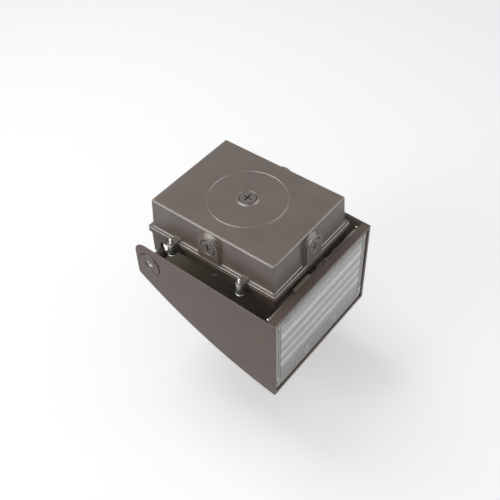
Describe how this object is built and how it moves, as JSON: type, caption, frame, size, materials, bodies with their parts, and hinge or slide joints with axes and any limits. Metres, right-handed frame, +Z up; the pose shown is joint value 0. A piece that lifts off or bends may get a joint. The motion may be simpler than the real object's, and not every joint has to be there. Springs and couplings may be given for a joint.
{
  "type": "wall pack light",
  "caption": "Cast wall light with a flanged back box, a cover with two pivot arms, and a wedge-shaped lamp head with a ribbed clear lens that tilts outward.",
  "frame": {"origin": "centre of the wall face of the back box, on the plane that touches the wall", "axes": "+Y points into the wall, +Z up, +X to the right of someone looking at the light on its wall; the light stands out along -Y"},
  "size_m": [0.2094, 0.2038, 0.2235],
  "materials": {
    "bronze_box": "satin bronze powder coat on cast aluminium",
    "bronze_plug": "satin bronze powder coat",
    "bronze_head": "satin bronze powder coat on cast aluminium",
    "seal_rubber": "black silicone rubber",
    "screw_steel": "bright stainless steel",
    "bolt_steel": "darkened stainless steel",
    "driver_case": "plain sheet case",
    "terminal_plastic": "cream moulded plastic",
    "ground_green": "green screw head",
    "sink_aluminium": "cast aluminium, bronze coated",
    "board_white": "white circuit board",
    "led_yellow": "phosphor-coated LED",
    "lens_clear": "clear ribbed lens"
  },
  "bodies": {
    "housing": {"back_box": "bronze_box", "plug_back": "bronze_plug", "plug_left": "bronze_plug", "plug_right": "bronze_plug", "plug_bottom": "bronze_plug", "plug_seals": "seal_rubber", "box_gasket": "seal_rubber", "box_cover": "bronze_box", "cover_screws": "screw_steel", "led_driver": "driver_case", "driver_screws": "screw_steel", "terminal_block": "terminal_plastic", "terminal_screws": "screw_steel", "ground_screw": "ground_green", "lead_bush": "seal_rubber", "pivot_bolts": "bolt_steel", "pivot_washers": "screw_steel"},
    "head": {"head_housing": "bronze_head", "pivot_discs": "bronze_head", "heat_sink": "sink_aluminium", "sink_screws": "screw_steel", "wire_gland": "seal_rubber", "rim_screws": "screw_steel", "led_board": "board_white", "board_screws": "screw_steel", "leds": "led_yellow", "lens_gasket": "seal_rubber", "lens": "lens_clear", "lens_screws": "screw_steel"}
  },
  "joints": [
    {"name": "head_tilt", "type": "hinge", "parent": "housing", "child": "head", "pos_m": [0, -0.084, 0.0825], "axis": [-1, 0, 0], "range_deg": [0, 90]}
  ]
}
